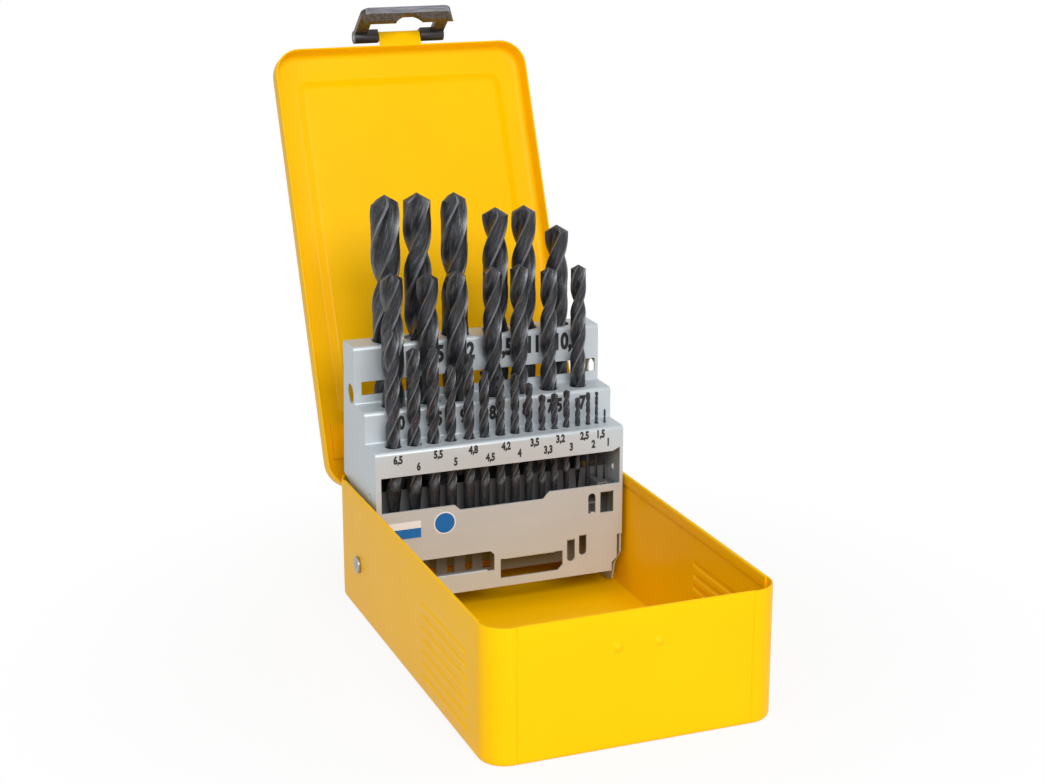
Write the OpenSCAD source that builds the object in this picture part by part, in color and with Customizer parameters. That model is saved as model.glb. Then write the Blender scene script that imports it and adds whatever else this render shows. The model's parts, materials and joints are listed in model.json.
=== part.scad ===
// Sheet-metal drill bit case, standing open.
// A folded tray and a shallow lid share a rear hinge. A stepped stand holds the bits. It turns on
// two rivets in the tray walls and a pair of links ties it to the lid, so that it lies down in the
// tray as the lid closes. A plastic clip on the lid's front edge snaps under two dimples.
// X runs across the case, -Y is the front, and the tray stands on Z = 0.
// The lid, its leaf, its lugs and the clip are drawn closed and then turned open.

/* [Tray] */
// Width of the tray over its side walls
base_w = 121.5; // [119:0.5:130]
// Length of the tray, front wall to rear wall
base_l = 196; // [194:1:210]
// Height of the tray
base_h = 56; // [55:0.5:60]
// Thickness of the tray sheet
base_sheet = 0.8; // [0.6:0.1:1]
// Radius of the tray's upright corners
base_corner = 11; // [8:0.5:14]
// Height of the hem folded in along the rim
hem_h = 5; // [3:0.5:7]

/* [Pressed marks] */
// Number of finger ribs in each side wall
rib_count = 7; // [4:1:7]
// Radius of a rib
rib_r = 1.4; // [1.2:0.1:1.8]
// How far a rib stands out of the wall
rib_proud = 0.6; // [0.4:0.1:1]
// Height of the lowest rib above the floor
rib_low = 7; // [5:0.5:9]
// Distance from one rib to the next
rib_pitch = 5.2; // [4.5:0.1:5.6]
// Length of a rib, between the centres of its round ends
rib_len = 49.5; // [30:0.5:60]
// Distance from the front wall to the front end of a rib
rib_front = 25; // [20:0.5:40]
// Distance between the two dimples that the clip snaps under
dimple_pitch = 17; // [14:0.5:24]
// Radius of a dimple
dimple_r = 2.2; // [1.8:0.1:2.6]
// How far a dimple stands out of the front wall
dimple_proud = 1.2; // [0.8:0.1:1.4]

/* [Lid] */
// Thickness of the lid sheet
lid_sheet = 0.8; // [0.6:0.1:1]
// Depth of the lid over its skirt
lid_depth = 10.4; // [9.8:0.1:12]
// How far the skirt laps over the tray's rim
lid_lap = 0.4; // [0.2:0.1:1]
// Clearance between the skirt and the tray
lid_gap = 0.4; // [0.3:0.1:0.8]
// How far the lid reaches behind the tray's rear wall
lid_over = 8; // [7.5:0.5:9]
// Angle that the open lid leans back from upright
lid_lean = 22.4; // [15:0.2:25]
// Depth of the panel's pressed centre
press_depth = 1.5; // [1:0.1:2]
// Margin of flat panel along each side of the pressed centre
press_side = 10; // [9:0.5:16]
// Margin of flat panel in front of the pressed centre
press_front = 12; // [10:0.5:24]
// Margin of flat panel behind the pressed centre, where the hinge and the lugs are fixed
press_rear = 31; // [30.5:0.5:40]
// Corner radius of the pressed centre
press_corner = 4; // [2:0.5:8]

/* [Hinge] */
// Distance from the tray's rear wall to the hinge axis
hinge_out = 3; // [2.8:0.1:3.5]
// Distance from the tray's rim down to the hinge axis
hinge_drop = 3.5; // [3:0.1:4.5]
// Width of the hinge
hinge_w = 84; // [60:1:90]
// Thickness of the hinge leaves
leaf_sheet = 0.8; // [0.6:0.1:1]
// Height of the leaf on the tray's rear wall
leaf_h = 16; // [14:0.5:20]
// Length of the lid leaf's foot under the lid panel
leaf_foot = 9; // [6:0.5:9]
// Diameter of a hinge rivet's shank
hinge_rivet_d = 2.8; // [2:0.1:3.4]
// Diameter of a hinge rivet's head
hinge_rivet_head_d = 5; // [4:0.1:6]
// Thickness of a hinge rivet's head
hinge_rivet_head_h = 0.9; // [0.6:0.1:1]
// Diameter of the hinge pin
hinge_pin_d = 2.2; // [1.8:0.1:2.6]
// Outer diameter of the hinge knuckles
knuckle_d = 4.4; // [4.2:0.1:4.8]
// Number of knuckles, counting both leaves
knuckle_count = 5; // [3:2:9]

/* [Latch clip] */
// Width of the clip
clip_w = 44; // [38:0.5:50]
// Distance from the clip's axis to the front face of the lid's skirt
clip_out = 4.8; // [4.2:0.1:5.5]
// Distance from the lid panel's outer face to the clip's axis
clip_drop = 8.3; // [8:0.1:8.6]
// Distance from the clip's axis to its lower edge
clip_reach = 21; // [20.5:0.1:22.5]
// Radius of the clip's two lower corners
clip_round = 4; // [2:0.5:5]
// Thickness of the clip's frame
clip_t = 2.4; // [2:0.1:2.6]
// Radius of the clip's barrels
barrel_r = 3; // [2.6:0.1:3.2]
// Width of the window in the clip
clip_window_w = 32; // [26:0.5:34]
// Diameter of the clip's pin
clip_pin_d = 2.4; // [2:0.1:2.6]
// Width of the lid's tab, which the clip's barrels stand beside
tab_w = 20.3; // [16:0.1:22]
// Outer diameter of the tube rolled at the end of the tab
tab_tube_d = 4.4; // [4:0.1:4.8]
// Angle that the clip hangs open from its latched position
clip_ajar = 17; // [0:1:30]

/* [Stand] */
// Gap between a tray wall and a cheek of the stand
stand_gap = 2.3; // [2:0.1:3]
// Thickness of the stand sheet
stand_sheet = 0.8; // [0.6:0.1:1]
// Outer radius of the stand's bends
bend_r = 1.6; // [1.3:0.1:2]
// Distance from the tray's rear wall forward to the stand's front face
stand_forward = 51.7; // [50:0.1:52]
// Height of the front plate's lower edge
plate_low = 11.3; // [11.2:0.1:14]
// Height of the front tier
tier_1_z = 79.5; // [77:0.5:84]
// Depth of the front tier
tier_1_d = 14.5; // [14:0.1:15.5]
// Rise from the front tier to the middle tier
tier_2_rise = 14; // [12:0.5:18]
// Depth of the middle tier
tier_2_d = 14.6; // [14.2:0.1:15.5]
// Rise from the middle tier to the back tier
tier_3_rise = 25.7; // [24:0.1:28]
// Depth of the back tier
tier_3_d = 15.8; // [15.5:0.1:17]
// Drop of the flange behind the back tier
flange_drop = 11.2; // [6:0.1:12]
// Distance from a tier's front face back to its row of holes
row_setback = 8.1; // [7.9:0.1:8.2]
// Play between a bit and the radius of its hole
hole_play = 0.35; // [0.25:0.05:0.5]

/* [Pivot] */
// Distance from the tray's rear wall forward to the stand's pivot
pivot_forward = 33.2; // [32:0.1:34]
// Height of the stand's pivot
pivot_z = 23.5; // [23:0.1:25]
// Diameter of a pivot rivet's shank
pivot_d = 5; // [4:0.1:5.5]
// Diameter of a pivot rivet's head
pivot_head_d = 7.5; // [6.5:0.1:9]
// Thickness of a pivot rivet's head
pivot_head_h = 1.2; // [0.8:0.1:1.2]
// Outer diameter of the spacer between a cheek and a tray wall
spacer_d = 9; // [8:0.1:11]

/* [Lift links] */
// Distance that the stud in the cheek lies behind the pivot
stud_back = 4.64; // [4.4:0.02:4.9]
// Distance that the stud lies above the pivot
stud_up = 20.13; // [19.9:0.01:20.4]
// Distance from the hinge axis forward to the lid's lug pin, with the lid closed
lug_forward = 17.08; // [16.9:0.02:17.3]
// Distance from the hinge axis down to the lug pin, with the lid closed
lug_drop = 1.36; // [1.2:0.02:1.5]
// Length of a link between its eyes
link_len = 44.66; // [44.4:0.02:45]
// Angle of the links above the horizontal, with the lid open
link_angle = 35.6; // [35:0.1:36.2]
// Width of a link
link_w = 7; // [6:0.5:8]
// Thickness of a link
link_t = 1.2; // [0.8:0.1:1.4]
// Distance from a cheek to its link
link_in = 5.25; // [4.5:0.05:5.5]
// Diameter of the stud and of the lug pin
link_pin_d = 3; // [2.6:0.1:3.2]
// Diameter of the long-play eye that takes the lug pin
loose_eye_d = 5.6; // [5.4:0.1:5.8]

/* [Bits] */
// Angle of the helix at a bit's edge
helix_angle = 30; // [25:1:35]
// Point angle of the bits
point_angle = 118; // [110:1:140]
// Gap between a bit's end and the shelf under it
seat_gap = 0.2; // [0.1:0.05:0.4]

/* [Clearances] */
// Radial clearance of a pin or rivet in the piece that turns on it
run_gap = 0.06; // [0.03:0.01:0.1]
// Radial clearance of a pin or rivet in a piece that stays with it
fixed_gap = 0.05; // [0.03:0.01:0.1]
// Side play between pieces that turn beside each other
side_gap = 0.1; // [0.1:0.05:0.2]

/* [Hidden] */
$fn = 48;

// Each bit: diameter, place across the stand, overall length, length of the flutes and point.
FRONT_BITS = [
    [6.5, -47.0, 101, 63], [6, -37.5, 92, 57], [5.5, -28.7, 92, 57], [5, -20.8, 83, 50],
    [4.8, -12.4, 87, 52], [4.5, -5.3, 79, 47], [4.2, 2.2, 76, 43], [4, 9.1, 76, 43],
    [3.5, 15.6, 71, 39], [3.3, 21.9, 65, 36], [3.2, 27.8, 65, 36], [3, 33.6, 61, 33],
    [2.5, 39, 57, 30], [2, 44, 49, 24], [1.5, 48.1, 40, 18], [1, 52.1, 34, 12]
];
MIDDLE_BITS = [
    [10, -41.9, 133, 87], [9.5, -25.7, 125, 81], [9, -12.6, 125, 81], [8.5, 4.2, 117, 75],
    [8, 16.7, 117, 75], [7.5, 30.8, 109, 69], [7, 45, 109, 69]
];
BACK_BITS = [
    [13, -39.7, 151, 101], [12.5, -25.1, 151, 101], [12, -8.1, 150, 101], [11.5, 11.1, 142, 94],
    [11, 24.6, 142, 94], [10.5, 40.4, 132, 87]
];
// Each row: its bits, and the shelf under them as steps of [right-hand end, height above the pivot].
FRONT_STEPS = [[30.5, 7], [41.5, 11.8], [46.2, 21.7], [50.2, 30.4], [55.9, 28]];
MIDDLE_STEPS = [[-34, -3.9], [-5, 2.7], [23, 11.1], [49, 16.5]];
BACK_STEPS = [[48, 9.1]];
FRONT_START = -52;
MIDDLE_START = -48.5;
BACK_START = -48;
// Places across the stand are given for a sheet of this half width.
drawn_half = 57.65;

// The tray's faces.
wall_x = base_w / 2;
wall_in = wall_x - base_sheet;
front_y = -base_l / 2;
rear_y = base_l / 2;

// The lid, closed.
lid_x = wall_x + lid_gap + lid_sheet;
lid_front = front_y - lid_gap - lid_sheet;
lid_rear = rear_y + lid_over;
lid_rim = base_h - lid_lap;
lid_top = lid_rim + lid_depth;
lid_corner = base_corner + lid_gap + lid_sheet;
lid_turn = 90 + lid_lean;
hinge = [0, rear_y + hinge_out, base_h - hinge_drop];

// The clip, latched.
clip_axis = [0, lid_front - clip_out, lid_top - clip_drop];
clip_plate_front = clip_axis[1] - barrel_r + 0.8;
clip_wall_gap = 0.7;
clip_ledge_t = 2.6;
clip_window_top = 3;
clip_window_low = 15.5;
clip_ledge_z = clip_axis[2] - clip_reach + clip_ledge_t;
clip_notch_w = 13;
clip_notch_d = 3.5;
dimple_under = 0.1;
dimple_z = clip_ledge_z + dimple_r + dimple_under;

// The stand.
cheek_out = wall_in - stand_gap;
stand_front = rear_y - stand_forward;
pivot_y = rear_y - pivot_forward;
cheek_in = cheek_out - stand_sheet;
plate_in = stand_front + stand_sheet;
riser_2_y = stand_front + tier_1_d;
riser_3_y = riser_2_y + tier_2_d;
flange_y = riser_3_y + tier_3_d;
tier_2_z = tier_1_z + tier_2_rise;
tier_3_z = tier_2_z + tier_3_rise;
flange_low = tier_3_z - flange_drop;
front_row_y = stand_front + row_setback;
middle_row_y = riser_2_y + row_setback;
back_row_y = riser_3_y + row_setback;
front_guide_y = riser_2_y + 0.2;
rear_guide_y = riser_3_y - 0.7;
guide_waist = link_in + stand_sheet + link_t + 1.2;
guide_up = 33.5;
comb_pitch = 8.5;
comb_w = 3.4;
comb_h = 9;
slit_w = 0.7;
slit_out = 2;
cheek_foot_r = 22;
label_t = 0.1;
label_disc_d = 10.1;

// The lift links.
stud = [pivot_y + stud_back, pivot_z + stud_up];
lug = [hinge[1] - lug_forward, hinge[2] - lug_drop];
link_out = cheek_in - link_in;
link_inner = link_out - link_t;
eye_rim = 1.3;
lug_t = 1.2;
lug_eye_r = link_pin_d / 2 + 2.4;
lug_foot_l = 16;
lug_foot_w = 6;
lug_out = link_inner - 2 * side_gap;
pin_head_h = 0.8;

BIT_SHAPES = concat(FRONT_BITS, MIDDLE_BITS, BACK_BITS);
function bit_name(d) = str("bit_", floor(d), "_", round(10 * (d - floor(d))));

// Shared shapes

// A round bar or disc along X, from x = a to x = b, centred at p = [y, z].
module along_x(a, b, p, r) {
    translate([min(a, b), p[0], p[1]]) rotate([0, 90, 0]) cylinder(r = r, h = abs(b - a));
}

// An outline in the Y and Z plane, thickened from x = a to x = b.
module side_sheet(a, b) {
    translate([min(a, b), 0, 0]) rotate([90, 0, 90]) linear_extrude(height = abs(b - a)) children();
}

module round_rect(w, l, r) {
    square([w - 2 * r, l], center = true);
    square([w, l - 2 * r], center = true);
    for (x = [-1, 1], y = [-1, 1]) translate([x * (w / 2 - r), y * (l / 2 - r)]) circle(r = r);
}

// A block from one corner to the other.
module block(low, high) {
    translate(low) cube(high - low);
}

module both_sides() {
    children();
    mirror([1, 0, 0]) children();
}

// Turns a piece of the lid from closed to open.
module opened() {
    translate(hinge) rotate([-lid_turn, 0, 0]) translate(-hinge) children();
}

// Swings the latched clip ajar and opens it with the lid.
module hung_ajar() {
    opened() translate(clip_axis) rotate([-clip_ajar, 0, 0]) translate(-clip_axis) children();
}

// Tray

module base_tray() {
    color("gold") difference() {
        union() {
            difference() {
                linear_extrude(height = base_h) round_rect(base_w, base_l, base_corner);
                translate([0, 0, base_sheet])
                    linear_extrude(height = base_h)
                    round_rect(base_w - 2 * base_sheet, base_l - 2 * base_sheet, base_corner - base_sheet);
            }
            tray_hems();
            both_sides() finger_ribs();
            both_sides() dimple();
        }
        both_sides() along_x(wall_in - 1, wall_x + 1, [pivot_y, pivot_z], pivot_d / 2 + fixed_gap);
        for (x = hinge_rivet_xs()) translate([x, rear_y - 3, hinge_rivet_z()])
            rotate([-90, 0, 0]) cylinder(d = hinge_rivet_d + 2 * fixed_gap, h = 6);
    }
}

// The hem is a second thickness inside the straight runs of the rim.
module tray_hems() {
    run_x = wall_x - base_corner - 0.7;
    run_y = rear_y - base_corner - 1;
    low = base_h - hem_h;
    both_sides() block([wall_in - base_sheet, -run_y, low], [wall_in, run_y, base_h]);
    for (y = [-1, 1]) scale([1, y, 1])
        block([-run_x, rear_y - 2 * base_sheet, low], [run_x, rear_y - base_sheet, base_h]);
}

module finger_ribs() {
    start = front_y + rib_front;
    sink = rib_r - rib_proud;
    intersection() {
        for (i = [0 : rib_count - 1]) translate([wall_x - sink, start, rib_low + i * rib_pitch]) {
            rotate([-90, 0, 0]) cylinder(r = rib_r, h = rib_len);
            sphere(r = rib_r);
            translate([0, rib_len, 0]) sphere(r = rib_r);
        }
        block([wall_x - base_sheet / 2, start - rib_r, 0],
            [wall_x + rib_r, start + rib_len + rib_r, base_h]);
    }
}

module dimple() {
    intersection() {
        translate([dimple_pitch / 2, front_y - dimple_proud + dimple_r, dimple_z]) sphere(r = dimple_r);
        block([0, front_y - dimple_r, 0], [dimple_pitch, front_y + base_sheet / 2, base_h]);
    }
}

// Hinge

function hinge_rivet_z() = hinge[2] - knuckle_d / 2 - leaf_h / 2;
function hinge_rivet_xs() = [for (i = [-1.5 : 1 : 1.5]) i * hinge_w / 4];
function knuckle_len() = hinge_w / knuckle_count;

// The knuckles whose number is odd or even, each with a bore for the pin.
module knuckles(first, bore_gap) {
    for (i = [first : 2 : knuckle_count - 1]) {
        low = -hinge_w / 2 + i * knuckle_len() + side_gap;
        high = low + knuckle_len() - 2 * side_gap;
        difference() {
            union() {
                along_x(low, high, [hinge[1], hinge[2]], knuckle_d / 2);
                translate([low, 0, 0]) knuckle_web(first, high - low);
            }
            along_x(low - 1, high + 1, [hinge[1], hinge[2]], hinge_pin_d / 2 + bore_gap);
        }
    }
}

// The strip that joins a knuckle to its leaf: under the pin on the tray, over it on the lid.
module knuckle_web(first, w) {
    if (first == 0)
        block([0, rear_y, hinge[2] - knuckle_d / 2], [w, hinge[1], hinge[2] - knuckle_d / 2 + leaf_sheet]);
    else
        block([0, hinge[1] - leaf_sheet / 2, hinge[2] + hinge_pin_d / 2 + run_gap],
            [w, hinge[1] + leaf_sheet / 2, lid_top - lid_sheet]);
}

module hinge_leaf_base() {
    top = hinge[2] - knuckle_d / 2 + leaf_sheet;
    color("goldenrod") difference() {
        union() {
            block([-hinge_w / 2, rear_y, top - leaf_h], [hinge_w / 2, rear_y + leaf_sheet, top]);
            knuckles(0, fixed_gap);
        }
        for (x = hinge_rivet_xs()) translate([x, rear_y - 3, hinge_rivet_z()])
            rotate([-90, 0, 0]) cylinder(d = hinge_rivet_d + 2 * fixed_gap, h = 6);
    }
}

module hinge_leaf_lid() {
    foot_top = lid_top - lid_sheet;
    color("goldenrod") opened() {
        block([-hinge_w / 2, hinge[1] - leaf_foot, foot_top - leaf_sheet],
            [hinge_w / 2, hinge[1] + leaf_sheet / 2, foot_top]);
        knuckles(1, run_gap);
    }
}

module hinge_pin() {
    color("silver") along_x(-hinge_w / 2 - 0.6, hinge_w / 2 + 0.6, [hinge[1], hinge[2]], hinge_pin_d / 2);
}

module hinge_rivets() {
    head_h = hinge_rivet_head_h;
    color("silver") for (x = hinge_rivet_xs()) translate([x, rear_y, hinge_rivet_z()]) rotate([-90, 0, 0]) {
        translate([0, 0, -base_sheet]) cylinder(d = hinge_rivet_d, h = base_sheet + leaf_sheet);
        translate([0, 0, leaf_sheet]) cylinder(d = hinge_rivet_head_d, h = head_h);
        translate([0, 0, -base_sheet - head_h]) cylinder(d = hinge_rivet_head_d, h = head_h);
    }
}

// Lid

module lid_shell() {
    l = lid_rear - lid_front;
    mid = (lid_rear + lid_front) / 2;
    press_w = 2 * (lid_x - press_side);
    press_l = l - press_front - press_rear;
    press_mid = mid + (press_front - press_rear) / 2;
    color("gold") opened() difference() {
        union() {
            translate([0, mid, lid_rim]) difference() {
                linear_extrude(height = lid_depth) round_rect(2 * lid_x, l, lid_corner);
                translate([0, 0, -lid_sheet]) linear_extrude(height = lid_depth)
                    round_rect(2 * (lid_x - lid_sheet), l - 2 * lid_sheet, lid_corner - lid_sheet);
            }
            translate([0, press_mid, lid_top - lid_sheet - press_depth])
                linear_extrude(height = press_depth + lid_sheet / 2)
                round_rect(press_w, press_l, press_corner);
            lid_tab();
        }
        translate([0, press_mid, lid_top - press_depth])
            linear_extrude(height = press_depth + 1)
            round_rect(press_w - 2 * lid_sheet, press_l - 2 * lid_sheet, press_corner - lid_sheet);
        along_x(-tab_w, tab_w, [clip_axis[1], clip_axis[2]], clip_pin_d / 2 + fixed_gap);
    }
}

module lid_tab() {
    along_x(-tab_w / 2, tab_w / 2, [clip_axis[1], clip_axis[2]], tab_tube_d / 2);
    low = clip_axis[2] - tab_tube_d / 2;
    block([-tab_w / 2, clip_axis[1], low], [tab_w / 2, lid_front + lid_sheet / 2, low + lid_sheet]);
}

// A lug under the lid panel with a headed pin that points outwards.
module lid_lug(side) {
    flat = lid_top - lid_sheet;
    half = lug_foot_l / 2;
    pin_end = link_out + side_gap;
    color("goldenrod") opened() mirror([side < 0 ? 1 : 0, 0, 0]) {
        side_sheet(lug_out - lug_t, lug_out) {
            polygon([[lug[0] - lug_eye_r, lug[1]], [lug[0] + lug_eye_r, lug[1]],
                [lug[0] + half, flat], [lug[0] - half, flat]]);
            translate(lug) circle(r = lug_eye_r);
        }
        block([lug_out - lug_t, lug[0] - half, flat - lug_t],
            [lug_out + lug_foot_w, lug[0] + half, flat]);
        along_x(lug_out - lug_t / 2, pin_end, lug, link_pin_d / 2);
        along_x(pin_end, pin_end + pin_head_h, lug, loose_eye_d / 2 + 0.9);
    }
}

// Latch clip

// A slab of the clip from y = front to y = back, with its two lower corners rounded.
module clip_slab(front, back, low, high) {
    half = clip_w / 2;
    r = clip_round;
    translate([0, back, 0]) rotate([90, 0, 0]) linear_extrude(height = back - front) {
        translate([-half, low + r]) square([clip_w, high - low - r]);
        translate([-half + r, low]) square([clip_w - 2 * r, high - low]);
        for (x = [-1, 1]) translate([x * (half - r), low + r]) circle(r = r);
    }
}

module latch_clip() {
    c = clip_axis;
    inner = tab_w / 2 + 0.25;
    low = c[2] - clip_reach;
    notch_r = (clip_notch_w * clip_notch_w / 4 + clip_notch_d * clip_notch_d) / (2 * clip_notch_d);
    ledge_edge = front_y - clip_wall_gap;
    color([0.2, 0.12, 0.08]) hung_ajar() difference() {
        union() {
            both_sides() along_x(inner, clip_w / 2, [c[1], c[2]], barrel_r);
            clip_slab(clip_plate_front, clip_plate_front + clip_t, low, c[2]);
            intersection() {
                clip_slab(clip_plate_front, ledge_edge, low, c[2]);
                block([-clip_w, clip_plate_front, low], [clip_w, ledge_edge, low + clip_ledge_t]);
            }
        }
        along_x(-clip_w, clip_w, [c[1], c[2]], clip_pin_d / 2 + run_gap);
        block([-inner, c[1] - 2 * barrel_r, c[2] - clip_window_top - 1],
            [inner, c[1] + 2 * barrel_r, c[2] + barrel_r + 1]);
        block([-clip_window_w / 2, c[1] - 2 * barrel_r, c[2] - clip_window_low],
            [clip_window_w / 2, c[1] + 2 * barrel_r, c[2] - clip_window_top]);
        translate([0, ledge_edge - clip_notch_d + notch_r, low - 1])
            cylinder(r = notch_r, h = clip_ledge_t + 1.01);
    }
}

module latch_pin() {
    color("silver") opened() along_x(-clip_w / 2, clip_w / 2, [clip_axis[1], clip_axis[2]], clip_pin_d / 2);
}

// Stand

function unit(a, b) = (b - a) / norm(b - a);
function turns_right(a, b) = a[0] * b[1] - a[1] * b[0] < 0;

// A folded strip that follows the points of its outer face, with the sheet on the right of the path.
module folded_profile(points, t, r) {
    n = len(points);
    radius = [for (i = [0 : n - 1]) i == 0 || i == n - 1 ? 0
        : turns_right(unit(points[i - 1], points[i]), unit(points[i], points[i + 1])) ? r : r - t];
    for (i = [0 : n - 2]) {
        d = unit(points[i], points[i + 1]);
        right = [d[1], -d[0]] * t;
        a = points[i] + d * radius[i];
        b = points[i + 1] - d * radius[i + 1];
        polygon([a, b, b + right, a + right]);
    }
    for (i = [1 : n - 2]) {
        into = unit(points[i - 1], points[i]);
        away = unit(points[i], points[i + 1]);
        centre = points[i] + (away - into) * radius[i];
        corner = points[i] - centre + (radius[i] == r ? [0, 0] : (into - away) * t);
        intersection() {
            translate(centre) difference() {
                circle(r = r);
                circle(r = r - t);
            }
            translate([min(centre[0], centre[0] + sign(into[0] - away[0]) * r),
                min(centre[1], centre[1] + sign(into[1] - away[1]) * r)]) square(r);
        }
    }
}

module stand_sheet() {
    path = [[stand_front, plate_low], [stand_front, tier_1_z], [riser_2_y, tier_1_z], [riser_2_y, tier_2_z],
        [riser_3_y, tier_2_z], [riser_3_y, tier_3_z], [flange_y, tier_3_z], [flange_y, flange_low]];
    color("lightgray") difference() {
        side_sheet(-cheek_out, cheek_out) folded_profile(path, stand_sheet, bend_r);
        row_holes(FRONT_BITS, front_row_y, tier_1_z);
        row_holes(MIDDLE_BITS, middle_row_y, tier_2_z);
        row_holes(BACK_BITS, back_row_y, tier_3_z);
        row_slits(BACK_BITS, back_row_y, tier_3_z);
        through_plate(stand_front) plate_windows();
        through_plate(riser_3_y) riser_slot();
    }
    color("lightgray") plate_tongues();
}

// A place across the stand, spread to the sheet's real width.
function across(x) = x * cheek_out / drawn_half;
function spread(points) = [for (p = points) [across(p[0]), p[1]]];

module row_holes(row, y, z) {
    for (b = row) translate([across(b[1]), y, z - 2 * stand_sheet])
        cylinder(r = b[0] / 2 + hole_play, h = 3 * stand_sheet);
}

// Four short slits round each large hole, which let its edge spring.
module row_slits(row, y, z) {
    for (b = row, a = [45, 135]) translate([across(b[1]), y, z]) rotate([0, 0, a])
        cube([b[0] + 2 * (hole_play + slit_out), slit_w, 4 * stand_sheet], center = true);
}

// Cuts an outline, drawn as seen from the front, through an upright plate at y.
module through_plate(y) {
    translate([0, y + 3 * stand_sheet, 0]) rotate([90, 0, 0])
        linear_extrude(height = 5 * stand_sheet) children();
}

// A slot with one round end, between two places across the stand and two heights.
module round_slot(from, to, low, high, round_top) {
    a = across(from);
    b = across(to);
    r = (b - a) / 2;
    translate([a, round_top ? low : low + r]) square([b - a, high - low - r]);
    translate([(a + b) / 2, round_top ? high - r : low + r]) circle(r = r);
}

// Heights in the front plate, from its lower edge.
module plate_windows() {
    translate([0, plate_low]) {
        // The long window across the row of small bits.
        polygon(spread([[-55.25, 41], [-22.1, 41], [-19.4, 38.5], [19.4, 38.5], [22.4, 41.6], [56.15, 41.6],
            [56.15, 58.6], [52.65, 57], [-55.25, 57]]));
        // The lower left window and the lower middle window.
        polygon(spread([[-50, 8.2], [-3.8, 8.2], [-3.8, 15.6], [-5.6, 17.4], [-50, 17.4]]));
        polygon(spread([[-0.9, 3.9], [26.5, 3.9], [28.8, 6.2], [28.8, 13], [-0.9, 13]]));
        round_slot(30.9, 34.7, 7.3, 17.7, false);
        round_slot(36.7, 40.3, 9.5, 19.1, false);
        round_slot(41, 44.6, 28.7, 38.1, true);
        polygon(spread([[46.9, 28.4], [53.3, 28.4], [53.3, 38.4], [46.9, 38.4]]));
        // The notch at the lower right corner.
        polygon(spread([[55.25, 17.3], [59, 17.3], [59, -1], [52.85, -1], [52.85, 4.1], [55.25, 6.3]]));
    }
}

// Tongues left at the edges of the windows and bent into the stand, clear of the front shelf:
// [left, right, height above the plate's lower edge, slope].
TONGUES = [[-46, -7, 8.2, -14], [1, 25, 13, 10], [31.4, 34.2, 17.7, 16], [37.2, 39.8, 19.1, 16],
    [42.5, 44.2, 28.7, -14], [47.4, 52.8, 38.4, 0]];
tongue_len = 4;

module plate_tongues() {
    half = stand_sheet / 2;
    for (t = TONGUES) translate([0, plate_in, plate_low + t[2]]) rotate([t[3], 0, 0])
        block([across(t[0]), -half, -half], [across(t[1]), tongue_len, half]);
}

module riser_slot() {
    translate([-cheek_out + 3.3, tier_2_z + 4]) square([2 * cheek_out - 4.9, 6.1]);
}

function arc(centre, r, a, b, n) =
    [for (i = [0 : n]) centre + r * [cos(a + (b - a) * i / n), sin(a + (b - a) * i / n)]];

// A cheek closes one side of the stand, under the folded sheet, and carries its pivot.
module cheek_outline() {
    t = stand_sheet;
    c = bend_r - t;
    polygon(concat([
        [plate_in, pivot_z - 4], [plate_in, tier_1_z - t - c], [plate_in + c, tier_1_z - t],
        [riser_2_y + t, tier_1_z - t], [riser_2_y + t, tier_2_z - t - c], [riser_2_y + t + c, tier_2_z - t],
        [riser_3_y + t, tier_2_z - t], [riser_3_y + t, tier_3_z - t - c], [riser_3_y + t + c, tier_3_z - t],
        [flange_y - t - c, tier_3_z - t], [flange_y - t, tier_3_z - t - c], [flange_y - t, flange_low],
        [flange_y, flange_low - 1], [flange_y + 4, pivot_z + guide_up], [flange_y - 2.7, pivot_z + 31.5],
        [pivot_y + 17.2, pivot_z + 28.5]
    ], arc([pivot_y, pivot_z], cheek_foot_r, 8, -115, 24), [[pivot_y - 11.8, pivot_z - 11.5]]));
}

module cheek(side) {
    color("silver") mirror([side < 0 ? 1 : 0, 0, 0]) side_sheet(cheek_in, cheek_out) difference() {
        cheek_outline();
        translate([pivot_y, pivot_z]) circle(r = pivot_d / 2 + run_gap);
        translate(stud) circle(r = link_pin_d / 2 + fixed_gap);
        translate([flange_y - 9.9, tier_2_z + 3.7]) circle(r = 4.4);
        translate([stand_front + 9.3, tier_1_z - 21.6]) circle(r = 1.35);
    }
}

// The plate behind the front row, with a comb of slots low down. It steps in past the heads of the
// pivot rivets.
module front_guide() {
    y = front_guide_y;
    back = y + stand_sheet;
    step_z = pivot_z + pivot_head_d / 2 + 1;
    narrow = cheek_in - side_gap - pivot_head_h - 0.5;
    color("gainsboro") difference() {
        union() {
            block([-cheek_in, y, step_z], [cheek_in, back, pivot_z + guide_up]);
            block([-narrow, y, plate_low + 1.7], [narrow, back, step_z + 1]);
        }
        for (i = [0 : 4]) translate([across(-38) + comb_pitch * i, y - 1, plate_low + 4])
            cube([comb_w, stand_sheet + 2, comb_h]);
    }
}

// The plate behind the middle row, narrow low down where the links swing past.
module rear_guide() {
    y = rear_guide_y;
    back = y + stand_sheet;
    narrow = cheek_in - guide_waist;
    color("gainsboro") {
        block([-cheek_in, y, pivot_z + 31.5], [cheek_in, back, tier_2_z - stand_sheet]);
        block([-narrow, y, plate_low + 1.7], [narrow, back, pivot_z + 32]);
    }
}

// A stepped strip from x = start through the steps, between y = a and y = b, under a row of bits.
module stepped_shelf(start, steps, a, b) {
    t = stand_sheet;
    for (i = [0 : len(steps) - 1]) {
        left = across(i == 0 ? start : steps[i - 1][0]);
        z = pivot_z + steps[i][1];
        block([left, a, z - t], [across(steps[i][0]), b, z]);
        if (i > 0) {
            before = pivot_z + steps[i - 1][1];
            block([left - t / 2, a, min(before, z) - t], [left + t / 2, b, max(before, z)]);
        }
    }
}

module front_shelf() {
    color("gainsboro") stepped_shelf(FRONT_START, FRONT_STEPS, plate_in, front_guide_y);
}

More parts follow.
